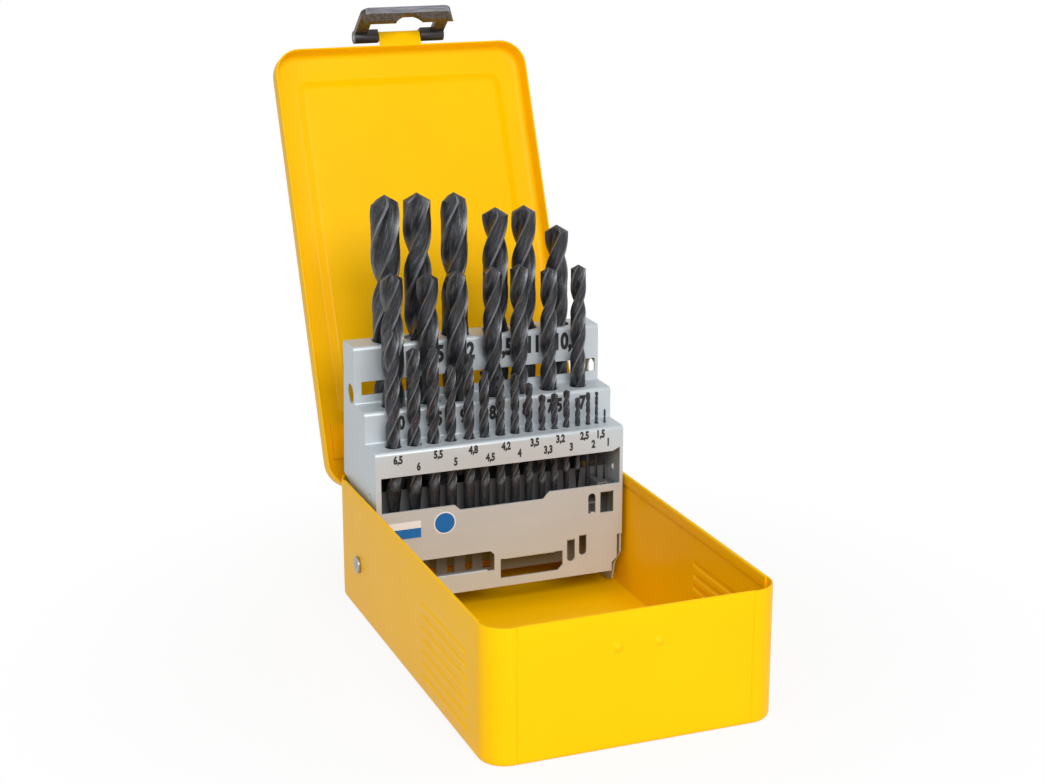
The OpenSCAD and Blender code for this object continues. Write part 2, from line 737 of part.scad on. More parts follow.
module middle_shelf() {
    color("gainsboro") stepped_shelf(MIDDLE_START, MIDDLE_STEPS, front_guide_y + stand_sheet, rear_guide_y);
}

module back_shelf() {
    color("gainsboro") stepped_shelf(BACK_START, BACK_STEPS, rear_guide_y + stand_sheet, flange_y);
}

// Pivot

module pivot_rivets() {
    p = [pivot_y, pivot_z];
    inner = cheek_in - side_gap;
    color("silver") both_sides() difference() {
        union() {
            along_x(inner, wall_x, p, pivot_d / 2);
            along_x(wall_x, wall_x + pivot_head_h, p, pivot_head_d / 2);
            along_x(inner - pivot_head_h, inner, p, pivot_head_d / 2);
        }
        translate([wall_x + pivot_head_h + 0.6, pivot_y, pivot_z]) sphere(r = 1.4);
    }
}

module pivot_spacers() {
    p = [pivot_y, pivot_z];
    color("silver") both_sides() difference() {
        along_x(cheek_out + side_gap, wall_in - side_gap, p, spacer_d / 2);
        along_x(cheek_out, wall_in, p, pivot_d / 2 + fixed_gap);
    }
}

// Lift links

module link_studs() {
    shoulder = link_out + side_gap;
    color("silver") both_sides() {
        along_x(shoulder, cheek_in, stud, link_pin_d / 2 + 1);
        along_x(link_inner - side_gap, cheek_out, stud, link_pin_d / 2);
        along_x(link_inner - side_gap - pin_head_h, link_inner - side_gap, stud, link_pin_d / 2 + 1);
    }
}

module lift_link(side) {
    eye = loose_eye_d / 2 + eye_rim;
    color("silver") mirror([side < 0 ? 1 : 0, 0, 0]) side_sheet(link_inner, link_out)
        translate(stud) rotate(link_angle) difference() {
            union() {
                translate([0, -link_w / 2]) square([link_len, link_w]);
                circle(r = link_w / 2);
                translate([link_len, 0]) circle(r = eye);
            }
            circle(r = link_pin_d / 2 + run_gap);
            translate([link_len, 0]) circle(r = loose_eye_d / 2);
        }
}

// Labels on the front plate, both bare of lettering

module label_plain() {
    color("lightblue") block([-cheek_out + 1, stand_front - label_t, plate_low + 28.4],
        [across(-37.7), stand_front, plate_low + 36]);
}

module label_disc() {
    color("royalblue") translate([across(-26.8), stand_front, plate_low + 33.5])
        rotate([90, 0, 0]) cylinder(d = label_disc_d, h = label_t);
}

// Bits

// Half of a bit's section as [angle, share of the radius]: a land, then a flute. Thicker bits have
// more points.
function half_section(d) =
    d > 10.2 ? [[-34, 1], [0, 1], [34, 1], [50, 0.62], [78, 0.36], [110, 0.36], [134, 0.7]]
    : d > 6.9 ? [[-34, 1], [0, 1], [34, 1], [54, 0.56], [90, 0.34], [126, 0.56]]
    : d > 3.2 ? [[-34, 1], [0, 1], [34, 1], [66, 0.42], [114, 0.42]]
    : [[-30, 1], [30, 1], [66, 0.45], [114, 0.45]];
function slice_angle(d) = d > 10.2 ? 18 : d > 6.9 ? 24 : d > 3.2 ? 36 : 45;

// The fluted body as rings of the section, each turned a little further; the last ring is the point.
module fluted_body(d, flute, point_h) {
    section = [for (half = [0, 180], p = half_section(d))
        (d / 2 - 0.02) * p[1] * [cos(p[0] + half), sin(p[0] + half)]];
    turn = 360 * flute / (PI * d / tan(helix_angle));
    slices = ceil(turn / slice_angle(d));
    tip_turn = turn * point_h / flute;
    rings = concat([for (i = [0 : slices]) [flute * i / slices, turn * i / slices, 1]],
        [[flute + point_h, turn + tip_turn, 0.12]]);
    n = len(section);
    points = [for (g = rings, p = section)
        [g[2] * (p[0] * cos(g[1]) - p[1] * sin(g[1])), g[2] * (p[0] * sin(g[1]) + p[1] * cos(g[1])), g[0]]];
    last = n * (len(rings) - 1);
    sides = [for (i = [0 : len(rings) - 2], j = [0 : n - 1], upper = [false, true])
        upper ? [i * n + j, (i + 1) * n + j, (i + 1) * n + (j + 1) % n]
        : [i * n + j, (i + 1) * n + (j + 1) % n, i * n + (j + 1) % n]];
    polyhedron(points, concat([[for (j = [0 : n - 1]) j]], sides, [[for (j = [n - 1 : -1 : 0]) last + j]]));
}

// A straight shank that stands on its shelf, right-hand flutes and a ground point.
module bit(b, y, shelf_z) {
    d = b[0];
    point_h = d / 2 / tan(point_angle / 2);
    shank = b[2] - b[3];
    sink = 0.1;
    color([0.2, 0.19, 0.18]) translate([across(b[1]), y, shelf_z + seat_gap]) {
        cylinder(d = d, h = shank);
        translate([0, 0, shank - sink]) fluted_body(d, b[3] - point_h + sink, point_h);
    }
}

// The height of the shelf at x.
function step_z(steps, x) = pivot_z + [for (s = steps) if (x < s[0]) s[1]][0];

module row_of_bits(row, y, steps) {
    for (b = row)
        bit(b, y, step_z(steps, b[1]));
}

base_tray();
lid_shell();
hinge_leaf_base();
hinge_leaf_lid();
hinge_pin();
hinge_rivets();
lid_lug(-1);  // lid_lug_left
lid_lug(1);  // lid_lug_right
latch_clip();
latch_pin();
stand_sheet();
cheek(-1);  // cheek_left
cheek(1);  // cheek_right
front_guide();
rear_guide();
front_shelf();
middle_shelf();
back_shelf();
pivot_rivets();
pivot_spacers();
link_studs();
lift_link(-1);  // lift_link_left
lift_link(1);  // lift_link_right
label_plain();
label_disc();
row_of_bits(FRONT_BITS, front_row_y, FRONT_STEPS);
row_of_bits(MIDDLE_BITS, middle_row_y, MIDDLE_STEPS);
row_of_bits(BACK_BITS, back_row_y, BACK_STEPS);
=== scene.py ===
"""Drill bit case, standing open: painted tray and lid, stepped stand, twist drills, latch clip.

The packed model is the fixed frame. Each operator dresses one group of its pieces, and all
settings are in metres and radians. X runs across the case, -Y is the front, Z is up.
"""
import json
import math

import bmesh
import bpy
from bpy.props import FloatProperty, FloatVectorProperty, IntProperty, PointerProperty
from mathutils import Matrix, Vector


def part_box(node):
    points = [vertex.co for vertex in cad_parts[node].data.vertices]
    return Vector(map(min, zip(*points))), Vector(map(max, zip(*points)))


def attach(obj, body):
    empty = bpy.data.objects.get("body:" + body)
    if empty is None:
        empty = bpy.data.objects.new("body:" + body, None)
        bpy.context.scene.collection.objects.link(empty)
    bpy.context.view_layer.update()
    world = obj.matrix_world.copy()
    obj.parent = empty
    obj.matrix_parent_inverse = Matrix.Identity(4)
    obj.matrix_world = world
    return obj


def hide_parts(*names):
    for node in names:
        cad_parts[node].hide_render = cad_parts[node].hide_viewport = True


bl_info = {
    "name": "Drill Bit Case",
    "version": (1, 0, 0),
    "blender": (4, 5, 0),
    "location": "View3D > Sidebar > Bit Case",
    "description": "Dresses the frame of an open sheet-metal drill bit case",
    "category": "Add Mesh",
}

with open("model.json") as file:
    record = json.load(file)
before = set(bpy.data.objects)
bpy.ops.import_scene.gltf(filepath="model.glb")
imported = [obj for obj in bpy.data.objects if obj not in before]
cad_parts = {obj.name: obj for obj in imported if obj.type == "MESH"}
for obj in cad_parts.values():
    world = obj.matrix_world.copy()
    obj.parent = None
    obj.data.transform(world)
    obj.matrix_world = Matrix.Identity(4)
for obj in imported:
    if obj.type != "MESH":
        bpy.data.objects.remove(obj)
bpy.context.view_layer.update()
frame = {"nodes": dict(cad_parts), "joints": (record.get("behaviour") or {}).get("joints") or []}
MM = 0.001
JOINTS = {joint["name"]: joint for joint in frame["joints"]}


def axis_point(joint):
    """A point on the axis of a joint of the frame."""
    return Vector(JOINTS[joint]["pos_m"])


# Placing and turning ---------------------------------------------------------------------------

HINGE = axis_point("lid_hinge")
LID_TURN = math.radians(JOINTS["lid_hinge"]["range_deg"][0])
CLIP_AJAR = math.radians(JOINTS["latch_pivot"]["range_deg"][0])


def turn_about(point, angle):
    """A turn about the line through the point that runs along X."""
    return Matrix.Translation(point) @ Matrix.Rotation(angle, 4, "X") @ Matrix.Translation(-point)


OPENED = turn_about(HINGE, LID_TURN)
CLOSED_CLIP_AXIS = OPENED.inverted() @ axis_point("latch_pivot")
HUNG_AJAR = OPENED @ turn_about(CLOSED_CLIP_AXIS, CLIP_AJAR)


# Settings --------------------------------------------------------------------------------------

def length(name, description, millimetres):
    """A length that is written in millimetres and kept in metres."""
    return FloatProperty(name=name, description=description, default=millimetres * MM,
                         unit="LENGTH", precision=5)


def angle(name, description, degrees):
    """An angle that is written in degrees and kept in radians."""
    return FloatProperty(name=name, description=description, default=math.radians(degrees),
                         subtype="ANGLE")


def number(name, description, default):
    """A share, a power or another plain number."""
    return FloatProperty(name=name, description=description, default=default)


def metres(name, description, *default):
    """A place, or the sides of a light, in metres."""
    return FloatVectorProperty(name=name, description=description, default=default,
                               size=len(default), unit="LENGTH", precision=4)


def linear(screen_value):
    """The linear share of a screen value from 0 to 255."""
    share = screen_value / 255
    return ((share + 0.055) / 1.055) ** 2.4 if share > 0.04045 else share / 12.92


def colour(name, description, *screen_values):
    """A colour that is written as its screen values."""
    return FloatVectorProperty(name=name, description=description, subtype="COLOR", size=3,
                               default=[linear(value) for value in screen_values], min=0, max=1)


class PaintSettings(bpy.types.PropertyGroup):
    """Colours of the case's finishes."""
    yellow: colour("Enamel", "Gloss enamel of the tray and the lid", 255, 198, 0)
    yellow_deep: colour("Deep enamel", "Enamel where it lies thicker", 252, 190, 0)
    steel: colour("Stand steel", "Bright plated sheet of the stand", 199, 207, 212)
    # Inner steel: bare sheet, painted darker as shade for the dim inside of the stand.
    inner_steel_with_painted_shade: colour("Inner steel", "Bare sheet of the guides and shelves", 112, 112, 112)
    drill: colour("Drill steel", "Steam-darkened high speed steel", 40, 41, 44)
    # Drill edge: partly the ground finish of the margins and flute edges, partly a painted
    # highlight along them.
    drill_edge_and_highlight: colour("Drill edge", "Ground edges of the drills", 128, 130, 134)
    clip: colour("Clip plastic", "Plastic of the latch clip", 40, 33, 30)
    clip_brown: colour("Clip brown", "Warm mottle inside the latch clip", 86, 68, 44)
    clip_end: colour("Clip end", "Scuffed lower edge of the latch clip", 142, 144, 154)
    print_black: colour("Print", "Printed sizes", 24, 24, 26)
    sticker_blue: colour("Sticker blue", "Blue of the stickers", 0, 108, 184)
    sticker_white: colour("Sticker white", "Pale part of the stickers", 232, 236, 240)
    rivet: colour("Rivet steel", "Rivets, pins and links", 176, 172, 164)


class TraySettings(bpy.types.PropertyGroup):
    """Sizes of the tray's pressing."""
    sheet: length("Sheet", "Thickness of the tray sheet", 0.8)
    corner: length("Corner", "Radius of the upright corners", 11)
    foot_round: length("Foot round", "Radius where the walls turn into the floor", 2)
    hem: length("Hem", "Height of the hem folded in along the rim", 5)
    hem_gap: length("Hem gap", "Bare rim between a hem and the corner's bend", 1)
    rib_count: IntProperty(name="Ribs", description="Finger ribs in each side wall", default=7,
                           min=1)
    rib_flat: length("Rib crest", "Half width of a rib's flat crest", 0.5)
    rib_half: length("Rib half width", "From a rib's crest to the flat wall", 1.7)
    rib_proud: length("Rib height", "How far a rib stands out", 0.6)
    rib_low: length("Lowest rib", "Height of the lowest rib", 7)
    rib_pitch: length("Rib pitch", "Distance between ribs", 5.2)
    rib_len: length("Rib length", "Distance between the centres of a rib's ends", 49.5)
    rib_front: length("Rib setback", "From the front wall to the front end of a rib", 25)
    dimple_pitch: length("Dimple pitch", "Distance between the two dimples", 17)
    dimple_half: length("Dimple half width", "From a dimple's top to the flat wall", 2.5)
    dimple_proud: length("Dimple height", "How far a dimple stands out", 1.15)
    dimple_height: length("Dimple place", "Height of the dimples above the floor", 41.6)
    crease: length("Crease", "Depth of the crease where a front corner's bend begins", 0.32)
    crease_half: length("Crease half width", "From the crease's middle to the flat wall", 0.55)


class LidSettings(bpy.types.PropertyGroup):
    """Sizes of the lid's pressing, as it lies closed."""
    sheet: length("Sheet", "Thickness of the lid sheet", 0.8)
    outside: length("Outside", "How far the skirt stands outside the tray's wall", 1.2)
    overhang: length("Overhang", "How far the lid reaches behind the tray", 8)
    depth: length("Depth", "Depth of the lid over its skirt", 10.4)
    lap: length("Lap", "How far the skirt laps over the tray's rim", 0.4)
    edge_round: length("Edge round", "Radius where the panel turns into the skirt", 3.8)
    press_side: length("Side margin", "Flat margin along each side of the pressed centre", 10.6)
    press_front: length("Front margin", "Flat margin in front of the pressed centre", 12.9)
    press_rear: length("Rear margin", "Flat margin behind the pressed centre", 31.7)
    press_slope: length("Slope", "Width of the slope round the pressed centre", 4.6)
    press_depth: length("Press depth", "Depth of the pressed centre", 1.5)
    press_corner: length("Press corner", "Corner radius of the pressed centre", 6.5)
    tab_half: length("Tab half width", "Half width of the tab", 10.15)
    tube: length("Tube", "Outer diameter of the tube rolled at the tab's end", 4.4)


class BitSettings(bpy.types.PropertyGroup):
    """Shape of the twist drills."""
    helix: angle("Helix", "Angle of the helix at the edge", 27)
    point: angle("Point", "Full angle of the point", 118)
    web: number("Web", "Web at the tip, as a share of the diameter", 0.4)
    web_shank: number("Web at the shank", "Web where the flutes run out, as the same share", 0.5)
    flute_angle: angle("Flute", "Angle of the section that a flute takes", 98)
    margin_angle: angle("Margin", "Angle of the section that a margin takes", 11)
    relief: number("Relief", "Body clearance behind the margin, as a share of the radius", 0.035)
    run_out: number("Run-out", "Length over which the flutes run out, in radii", 2.2)
    chamfer: length("Chamfer", "Largest chamfer at the end of a shank", 0.4)


class StageSettings(bpy.types.PropertyGroup):
    """Camera, lights and floor."""
    camera_place: metres("Camera", "Where the camera stands", -0.2894, -0.7219, 0.3397)
    camera_aim: metres("Aim", "The point that the camera looks at", -0.0108, -0.0060, 0.1165)
    camera_roll: angle("Roll", "Roll of the camera", -0.065)
    lens: number("Lens", "Focal length in millimetres", 68.19)
    sensor: number("Sensor", "Width of the sensor in millimetres", 36)
    light_aim: metres("Light aim", "The point that both lights face", 0, 0, 0.1)
    key: number("Key", "Power of the key light in watts", 13.5)
    key_place: metres("Key place", "Where the key light hangs", -0.12, -1.15, 0.85)
    key_size: metres("Key size", "Width and height of the key light", 0.8, 0.6)
    fill: number("Fill", "Power of the tall side light in watts", 0.8)
    fill_place: metres("Fill place", "Where the side light hangs", -0.95, -0.5, 0.35)
    fill_size: metres("Fill size", "Width and height of the side light", 0.12, 0.8)
    sky: number("Sky", "Strength of the soft light from all round", 0.5)
    floor_grey: number("Floor grey", "How light the floor is", 0.86)
    floor_half: number("Floor", "Half the width of the floor in metres", 3.0)
    floor_glow: number("Floor glow", "Share of plain white in the floor near the case", 0.88)
    floor_near: number("Shadow reach", "Metres to where the shadow begins to fade", 0.12)
    floor_far: number("White reach", "Metres from where the floor is plain white", 0.24)


SETTINGS = {
    "case_paint": PaintSettings, "case_tray": TraySettings, "case_lid": LidSettings,
    "case_bits": BitSettings, "case_stage": StageSettings,
}


# Materials -------------------------------------------------------------------------------------

class Value:
    """A socket that takes part in arithmetic: each step adds one Math node."""

    def __init__(self, finish, socket):
        self.finish = finish
        self.socket = socket

    def math(self, operation, *others, clamp=False):
        settings = {"operation": operation, "use_clamp": clamp}
        return self.finish.node("ShaderNodeMath", settings, dict(enumerate((self, *others))))

    def __add__(self, other):
        return self.math("ADD", other)

    __radd__ = __add__

    def __sub__(self, other):
        return self.math("SUBTRACT", other)

    def __rsub__(self, other):
        return self.finish.number(other).math("SUBTRACT", self)

    def __mul__(self, other):
        return self.math("MULTIPLY", other)

    __rmul__ = __mul__

    def __truediv__(self, other):
        return self.math("DIVIDE", other)

    def __rtruediv__(self, other):
        return self.finish.number(other).math("DIVIDE", self)

    def __pow__(self, other):
        return self.math("POWER", other)

    def __gt__(self, other):
        return self.math("GREATER_THAN", other)

    def __lt__(self, other):
        return self.math("LESS_THAN", other)

    def clamped(self):
        return self.math("ADD", 0.0, clamp=True)


class Finish:
    """The node tree of a material or of the world, under construction."""

    def __init__(self, owner):
        self.owner = owner
        owner.use_nodes = True
        self.tree = owner.node_tree
        self.tree.nodes.clear()

    def node(self, kind, settings=None, inputs=None, out=0):
        """Adds a node. Settings are set first, then the values or links of its sockets."""
        made = self.tree.nodes.new(kind)
        for key, value in (settings or {}).items():
            setattr(made, key, value)
        for key, value in (inputs or {}).items():
            if isinstance(value, Value):
                self.tree.links.new(value.socket, made.inputs[key])
            else:
                made.inputs[key].default_value = value
        return Value(self, made.outputs[out]) if len(made.outputs) else None

    def number(self, value):
        """A plain number as a value that can stand first in an expression."""
        made = self.tree.nodes.new("ShaderNodeValue")
        made.outputs[0].default_value = value
        return Value(self, made.outputs[0])

    def place(self, stretch=(1, 1, 1)):
        """Where a point lies on the object, stretched along its axes."""
        where = self.node("ShaderNodeTexCoord", out="Object")
        return self.node("ShaderNodeMapping", {}, {"Vector": where, "Scale": stretch})

    def axis(self, letter):
        """How far a point lies along one axis of the object."""
        where = self.node("ShaderNodeTexCoord", out="Object")
        return self.node("ShaderNodeSeparateXYZ", {}, {"Vector": where}, out=letter)

    def along_flutes(self, stretch):
        """Where a point lies in a drill's section before the twist, and how far up, in radii."""
        flow = self.node("ShaderNodeAttribute", {"attribute_name": "flow"}, out="Vector")
        return self.node("ShaderNodeMapping", {}, {"Vector": flow, "Scale": stretch})

    def noise(self, scale, detail=3.0, roughness=0.5, stretch=(1, 1, 1), where=None):
        """Soft noise from 0 to 1 with features of about 1/scale metres."""
        return self.node("ShaderNodeTexNoise", {"noise_dimensions": "3D"}, {
            "Vector": where or self.place(stretch), "Scale": scale, "Detail": detail,
            "Roughness": roughness})

    def mix(self, factor, low, high):
        """A colour between two others."""
        inputs = {0: factor, 6: shade(low), 7: shade(high)}
        return self.node("ShaderNodeMix", {"data_type": "RGBA"}, inputs, out=2)

    def bump(self, height, distance, strength):
        """A surface that rises by the distance in metres as the height goes from 0 to 1."""
        return self.node("ShaderNodeBump", {}, {"Strength": strength, "Distance": distance,
                                                "Height": height})

    def surface(self, **inputs):
        """Ends the material with a Principled BSDF. Words joined by _ name its sockets."""
        named = {key.replace("_", " "): value for key, value in inputs.items()}
        bsdf = self.node("ShaderNodeBsdfPrincipled", {}, named)
        self.node("ShaderNodeOutputMaterial", {}, {"Surface": bsdf})
        return self.owner


def shade(value):
    """A colour as four numbers, or a link as it is."""
    return value if isinstance(value, Value) else (*value[:3], 1)


def scaled(tone, share):
    """A colour with each channel multiplied by the share."""
    return [channel * share for channel in tone]


# The frame brings plain materials named after its slots. The finishes keep their names apart.
DRESSED = "dressed_"


def new_finish(name):
    """An empty material."""
    return Finish(bpy.data.materials.new(DRESSED + name))


def yellow_enamel(paint):
    """Gloss enamel over sheet steel: a faint orange peel and slow changes of depth."""
    f = new_finish("yellow_enamel")
    slow = f.noise(28, 2)
    peel = f.noise(620, 2)
    base = f.mix(slow, paint.yellow_deep, paint.yellow)
    bump = f.bump(peel, 0.02 * MM, 0.5)
    return f.surface(Base_Color=base, Roughness=0.3 + 0.1 * f.noise(90, 3), Normal=bump,
                     Specular_IOR_Level=0.06, Coat_Weight=0.05, Coat_Roughness=0.14)


def rolled_sheet(name, tone, metallic):
    """Sheet steel with a fine rolled grain along X, handled here and there."""
    f = new_finish(name)
    grain = f.noise(260, 4, 0.6, (0.06, 1, 1))
    cloud = f.noise(45, 3)
    base = f.mix(0.6 * grain + 0.4 * cloud, scaled(tone, 0.88), tone)
    return f.surface(Base_Color=base, Roughness=0.36 + 0.14 * grain + 0.06 * cloud,
                     Metallic=metallic, Normal=f.bump(grain, 0.02 * MM, 0.35))


def stand_steel(paint):
    """Bright plated sheet."""
    return rolled_sheet("stand_steel", paint.steel, 0.25)


def inner_steel_with_painted_shade(paint):
    """Bare sheet inside the stand, painted darker as shade for the stand's dim inside."""
    return rolled_sheet("inner_steel_with_painted_shade", paint.inner_steel_with_painted_shade, 0.3)


def rivet_steel(paint):
    """Turned and plated small parts."""
    f = new_finish("rivet_steel")
    mottle = f.noise(900, 3)
    base = f.mix(mottle, scaled(paint.rivet, 0.7), paint.rivet)
    return f.surface(Base_Color=base, Metallic=0.9, Roughness=0.3 + 0.15 * mottle,
                     Normal=f.bump(mottle, 0.02 * MM, 0.3))


def drill_steel(paint):
    """Steam-darkened high speed steel: near black, with a soft sheen, pale lines that are partly
    ground marks and partly painted sheen, and pale edges that are partly ground finish and partly a
    painted highlight.
    """
    f = new_finish("drill_steel")
    ground = f.noise(7, 4, 0.65, where=f.along_flutes((1, 1, 0.12)))
    fine = f.noise(30, 2, 0.5, where=f.along_flutes((1, 1, 0.05)))
    cloud = f.noise(160, 3)
    # The edge attribute marks where the drill is painted pale: partly its ground finish, partly a
    # painted highlight.
    edge = f.node("ShaderNodeAttribute", {"attribute_name": "edge"}, out="Fac")
    # Pale lines along the flutes: partly ground marks, partly painted sheen.
    ground_marks_and_sheen = ((ground * 0.6 + fine * 0.4 - 0.49) * 7).clamped()
    body = f.mix(ground_marks_and_sheen, paint.drill, scaled(paint.drill, 5))
    ground_edge_and_highlight = (edge * (1.5 * ground - 0.15)).clamped()
    return f.surface(Base_Color=f.mix(ground_edge_and_highlight, body, paint.drill_edge_and_highlight), Metallic=0.45,
                     Roughness=0.22 + 0.2 * fine + 0.1 * cloud,
                     Normal=f.bump(ground + 0.5 * fine, 0.15 * MM, 0.7))


# Parts of the latch clip, measured from its pivot: down from it, and out from the case.
CLIP_FRAME_FROM = 4.5 * MM
CLIP_FRAME_FACE = 0.6 * MM
CLIP_EDGE_FROM = 20.2 * MM
CLIP_EDGE_FACE = -1.2 * MM


def clip_plastic(paint):
    """Moulded plastic: dark barrels, a brown mottle on the frame and a scuffed pale lower edge."""
    f = new_finish("clip_plastic")
    pivot = axis_point("latch_pivot")
    out = HUNG_AJAR.to_3x3() @ Vector((0, -1, 0))
    down = HUNG_AJAR.to_3x3() @ Vector((0, 0, -1))
    across, up = f.axis("Y") - pivot.y, f.axis("Z") - pivot.z
    outward = across * out.y + up * out.z
    reach = across * down.y + up * down.z
    grain = f.noise(900, 3)
    lines = f.noise(2200, 2, 0.5, (0.04, 1, 1))
    on_frame = (reach > CLIP_FRAME_FROM) * (outward < CLIP_FRAME_FACE)
    on_edge = (reach > CLIP_EDGE_FROM) * (outward > CLIP_EDGE_FACE)
    mottle = ((grain - 0.38) * 4).clamped() * on_frame
    scuff = on_edge * (2.2 * lines - 0.4).clamped()
    body = f.mix(mottle, paint.clip, paint.clip_brown)
    return f.surface(Base_Color=f.mix(scuff, body, paint.clip_end),
                     Roughness=0.3 + 0.12 * grain, Normal=f.bump(grain, 0.03 * MM, 0.35))


def printed_black(paint):
    """Screen printed ink."""
    f = new_finish("printed_black")
    ink = f.noise(1500, 2)
    base = f.mix(ink, paint.print_black, scaled(paint.print_black, 2.4))
    return f.surface(Base_Color=base, Roughness=0.5 + 0.1 * ink)


def sticker_plain(paint):
    """A pale sticker with a blue band along its lower part."""
    f = new_finish("sticker_plain")
    low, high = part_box("label_plain")
    band_share = 0.58
    band = f.axis("Z") < low.z + band_share * (high.z - low.z)
    fleck = f.noise(700, 2)
    pale = f.mix(fleck, scaled(paint.sticker_white, 0.94), paint.sticker_white)
    return f.surface(Base_Color=f.mix(band, pale, paint.sticker_blue),
                     Roughness=0.34 + 0.1 * fleck)


def sticker_disc(paint):
    """A blue disc with a pale ring at its edge."""
    f = new_finish("sticker_disc")
    low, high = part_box("label_disc")
    middle = (low + high) / 2
    radius = (high.x - low.x) / 2
    off_x = f.axis("X") - middle.x
    off_z = f.axis("Z") - middle.z
    ring_from = 0.9 * radius
    ring = (off_x * off_x + off_z * off_z) ** 0.5 > ring_from
    fleck = f.noise(700, 2)
    blue = f.mix(fleck, paint.sticker_blue, scaled(paint.sticker_blue, 0.85))
    return f.surface(Base_Color=f.mix(ring, blue, paint.sticker_white),
                     Roughness=0.34 + 0.1 * fleck)


FINISHES = (yellow_enamel, stand_steel, inner_steel_with_painted_shade, rivet_steel, drill_steel, clip_plastic,
            printed_black, sticker_plain, sticker_disc)


def finish(name):
    """The named material, made on its first use."""
    if DRESSED + name not in bpy.data.materials:
        maker = next(f for f in FINISHES if f.__name__ == name)
        maker(bpy.context.scene.case_paint)
    return bpy.data.materials[DRESSED + name]


# Mesh helpers ----------------------------------------------------------------------------------

class Skin:
    """Points and faces of one mesh piece, gathered from several closed forms."""

    def __init__(self):
        self.points = []
        self.faces = []
        self.flow = []
        self.edge = []

    def loft(self, rings):
        """Joins closed rings of equally many points into one closed form with flat ends."""
        count = len(rings[0])
        start = len(self.points)
        self.points += [point for ring in rings for point in ring]
        for i in range(len(rings) - 1):
            for j in range(count):
                k = (j + 1) % count
                a, b = start + i * count, start + (i + 1) * count
                self.faces.append((a + j, a + k, b + k, b + j))
        last = start + (len(rings) - 1) * count
        self.faces.append(tuple(range(start + count - 1, start - 1, -1)))
        self.faces.append(tuple(range(last, last + count)))

    def move(self, matrix):
        self.points = [matrix @ point for point in self.points]

    def piece(self, name, material, body, slot, replaced=(), sharp=32):
        """Makes the object, which rides on a body and stands for the CAD nodes it replaces."""
        mesh = bpy.data.meshes.new(name)
        mesh.from_pydata([tuple(point) for point in self.points], [], self.faces)
        tidy = bmesh.new()
        tidy.from_mesh(mesh)
        bmesh.ops.recalc_face_normals(tidy, faces=tidy.faces)
        tidy.to_mesh(mesh)
        tidy.free()
        if self.flow:
            flow = mesh.attributes.new("flow", "FLOAT_VECTOR", "POINT")
            flow.data.foreach_set("vector", [c for place in self.flow for c in place])
            # The edge attribute carries where a drill is painted pale, partly as ground finish and
            # partly as a painted highlight.
            edge = mesh.attributes.new("edge", "FLOAT", "POINT")
            edge.data.foreach_set("value", self.edge)
        mesh.materials.append(finish(material))
        mesh.polygons.foreach_set("use_smooth", [True] * len(mesh.polygons))
        mesh.set_sharp_from_angle(angle=math.radians(sharp))
        made = bpy.data.objects.new(name, mesh)
        bpy.context.scene.collection.objects.link(made)
        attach(made, body)
        if replaced:
            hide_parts(*replaced)
        return made


def steps(start, end, count):
    """Count + 1 values from start to end."""
    return [start + (end - start) * i / count for i in range(count + 1)]


def smooth(share):
    """A share from 0 to 1 that sets off and comes in gently."""
    return share * share * (3 - 2 * share)


def arc(centre_out, centre_up, radius, start, end, count):
    """Points (out, up) on an arc between two angles in degrees."""
    angles = [math.radians(a) for a in steps(start, end, count)]
    return [(centre_out + radius * math.cos(a), centre_up + radius * math.sin(a)) for a in angles]


def way_round(half_w, half_l, corner, count, side_marks=(), front_marks=()):
    """Samples round a rounded rectangle, anticlockwise: (point of its core, way out).

    The straight sides take extra samples at the marks."""
    core_w, core_l = half_w - corner, half_l - corner
    corners = ((core_w, core_l), (-core_w, core_l), (-core_w, -core_l), (core_w, -core_l))
    runs = {
        1: [((-core_w, y), (-1, 0)) for y in sorted(side_marks, reverse=True)],
        2: [((x, -core_l), (0, -1)) for x in sorted(front_marks)],
        3: [((core_w, y), (1, 0)) for y in sorted(side_marks)],
    }
    samples = []
    for quarter, spot in enumerate(corners):
        for i in range(count + 1):
            angle = math.radians(90 * (quarter + i / count))
            samples.append((Vector((*spot, 0)), Vector((math.cos(angle), math.sin(angle), 0))))
        for core, out in runs.get(quarter, ()):
            samples.append((Vector((*core, 0)), Vector((*out, 0))))
    return samples


def rounded_ring(half_w, half_l, corner, height, centre_y, count=9):
    """A rounded rectangle at a height."""
    shift = Vector((0, centre_y, height))
    return [core + out * corner + shift for core, out in way_round(half_w, half_l, corner, count)]


def bar_along(section, axis, start, end, fixed):
    """Rings of a bar whose section (in, up) lies in from a wall's face.

    The fixed value is the wall's place; its sign says which way is in."""
    rings = []
    for place in (start, end):
        ring = []
        for inward, up in section:
            across = fixed - math.copysign(inward, fixed)
            ring.append(Vector((across, place, up)) if axis == "Y" else Vector((place, across, up)))
        rings.append(ring)
    return rings


# Tray ------------------------------------------------------------------------------------------

def tray_faces():
    """Half width and half length of the tray over its walls, and its height."""
    low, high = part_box("base_tray")
    rib = bpy.context.scene.case_tray.rib_proud
    return high.x - rib, high.y, high.z


def bell(distance, reach):
    """1 in the middle, falling smoothly to 0 at the reach."""
    return 0.0 if distance >= reach else 0.5 + 0.5 * math.cos(math.pi * distance / reach)


def ridge(distance, flat, reach):
    """1 over the flat crest, then a smooth flank down to 0 at the reach."""
    return bell(max(distance - flat, 0), reach - flat)


def rib_rise(tray, half_l, y, z):
    """How far the side wall stands out at a place, for its finger ribs."""
    start = -half_l + tray.rib_front
    along = max(start - y, y - start - tray.rib_len, 0)
    near = round((z - tray.rib_low) / tray.rib_pitch)
    near = min(max(near, 0), tray.rib_count - 1)
    up = z - tray.rib_low - near * tray.rib_pitch
    return tray.rib_proud * ridge(math.hypot(along, up), tray.rib_flat, tray.rib_half)


